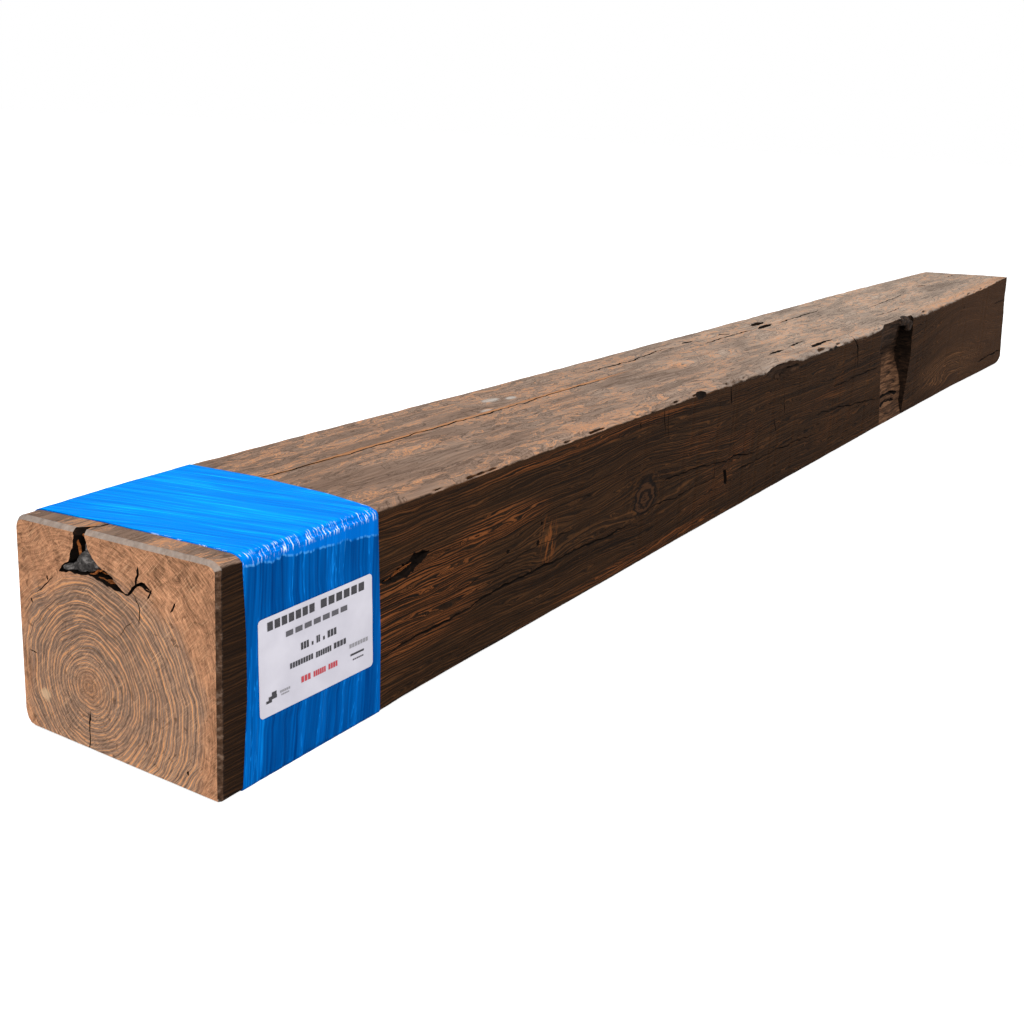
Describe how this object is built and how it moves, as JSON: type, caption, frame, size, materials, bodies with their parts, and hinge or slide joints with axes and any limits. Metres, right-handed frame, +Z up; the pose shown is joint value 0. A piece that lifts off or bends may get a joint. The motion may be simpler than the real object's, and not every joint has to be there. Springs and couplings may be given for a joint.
{
  "type": "reclaimed cypress mantel beam",
  "caption": "Reclaimed hand-worn cypress timber for use as a fireplace mantel, with an old joist housing and a blue stretch film band holding a plain card label.",
  "frame": {"origin": "middle of the underside of the whole object, on the floor that it lies on", "axes": "+X along the beam from the wrapped near end to the far end, +Y from the housed front face to the back, +Z up"},
  "size_m": [3.0477, 0.2544, 0.2315],
  "materials": {
    "old_cypress": "matte",
    "blue_film": "gloss",
    "white_card": "satin"
  },
  "bodies": {
    "root": {"beam": "old_cypress", "stretch_wrap": "blue_film", "label_card": "white_card"}
  },
  "joints": []
}
